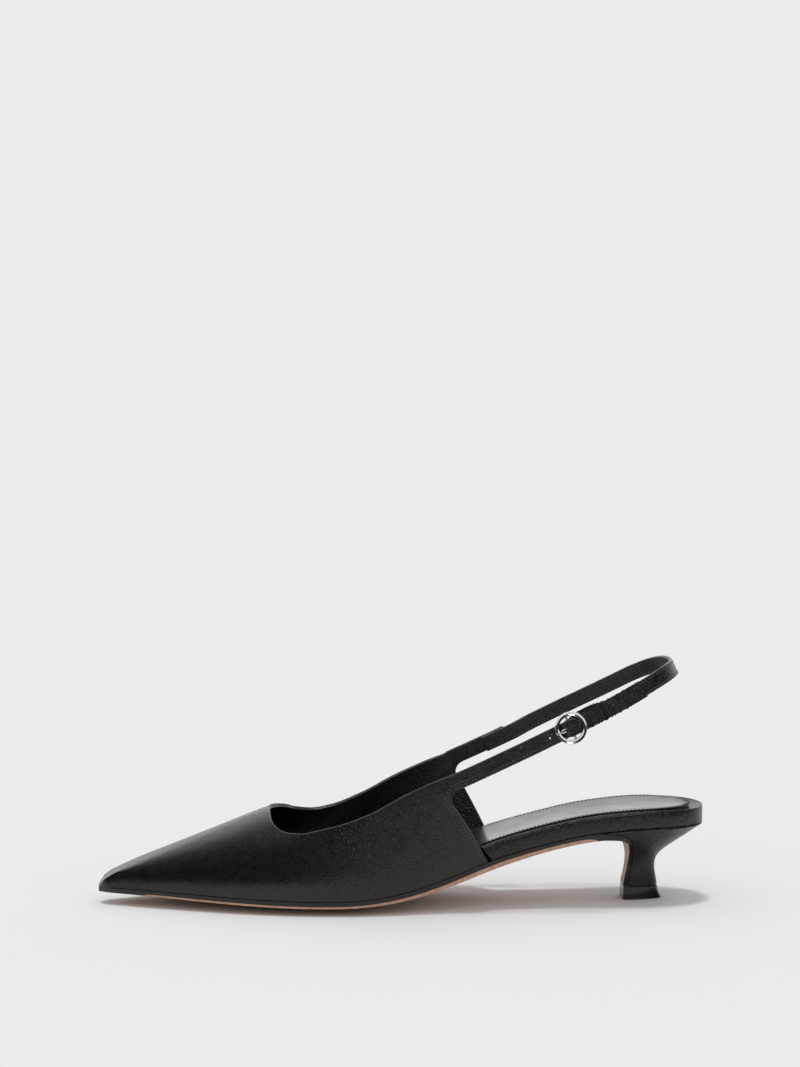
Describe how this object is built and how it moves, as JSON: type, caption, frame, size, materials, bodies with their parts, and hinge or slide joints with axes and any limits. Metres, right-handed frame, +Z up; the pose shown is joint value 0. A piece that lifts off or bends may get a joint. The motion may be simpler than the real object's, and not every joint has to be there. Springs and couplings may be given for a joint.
{
  "type": "slingback pump",
  "caption": "Left slingback pump with a pointed toe, low flared heel, wrapped footbed and a heel strap closed by a round buckle.",
  "frame": {"origin": "middle of the shoe's bounding box, on the floor", "axes": "+X from the toe to the heel, +Y to the medial side, +Z up"},
  "size_m": [0.27, 0.0772, 0.1076],
  "materials": {
    "upper_leather": "satin black calf leather",
    "sock_leather": "glossy black lining leather",
    "sole_leather": "natural tan sole leather with a black edge",
    "top_piece_rubber": "polished black",
    "buckle_metal": "polished silver colour"
  },
  "bodies": {
    "root": {"outsole": "sole_leather", "heel": "upper_leather", "heel_top_piece": "top_piece_rubber", "footbed": "upper_leather", "sock": "sock_leather", "upper": "upper_leather", "heel_strap": "upper_leather", "strap_tab": "upper_leather", "buckle_ring": "buckle_metal", "buckle_prong": "buckle_metal"}
  },
  "joints": []
}
